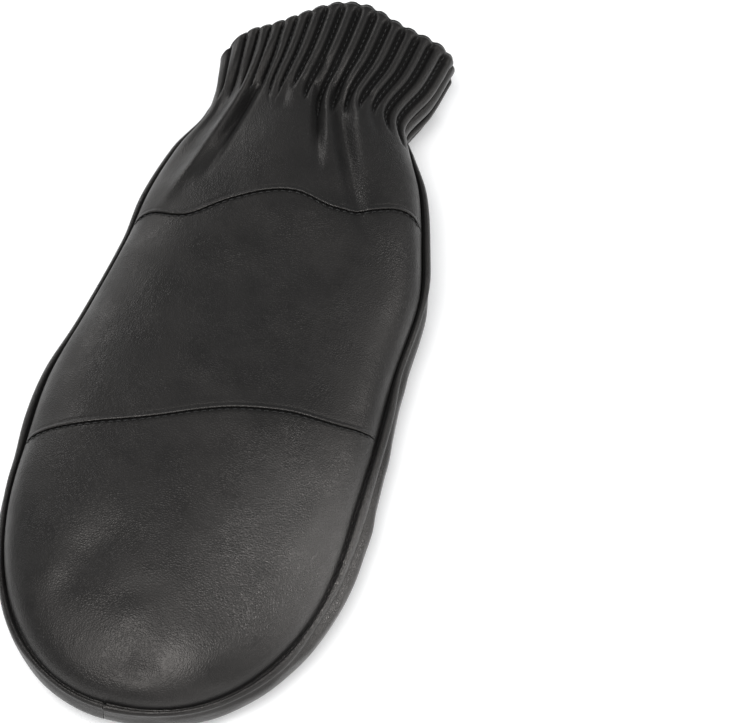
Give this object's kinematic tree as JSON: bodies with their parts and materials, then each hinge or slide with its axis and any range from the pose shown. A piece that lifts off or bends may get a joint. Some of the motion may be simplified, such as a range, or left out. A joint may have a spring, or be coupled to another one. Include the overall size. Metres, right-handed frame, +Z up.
{
  "type": "leather mitten with a ribbed cuff",
  "caption": "Black leather mitten for the right hand, lying palm down, with a side band, cross seams over the back and a padded ribbed leather cuff.",
  "frame": {"origin": "on the surface that the mitten lies on, under the middle of its box", "axes": "+Z up from the palm to the back of the hand, +Y from the fingertips to the cuff's open end, +X to the thumb side"},
  "size_m": [0.1182, 0.2728, 0.0424],
  "materials": {
    "back_leather": "satin",
    "band_leather": "satin",
    "palm_leather": "satin"
  },
  "bodies": {
    "root": {"back_tip": "back_leather", "back_middle": "back_leather", "back_wrist": "back_leather", "band_outer": "band_leather", "band_thumb": "band_leather", "palm": "palm_leather", "thumb": "palm_leather"}
  },
  "joints": []
}
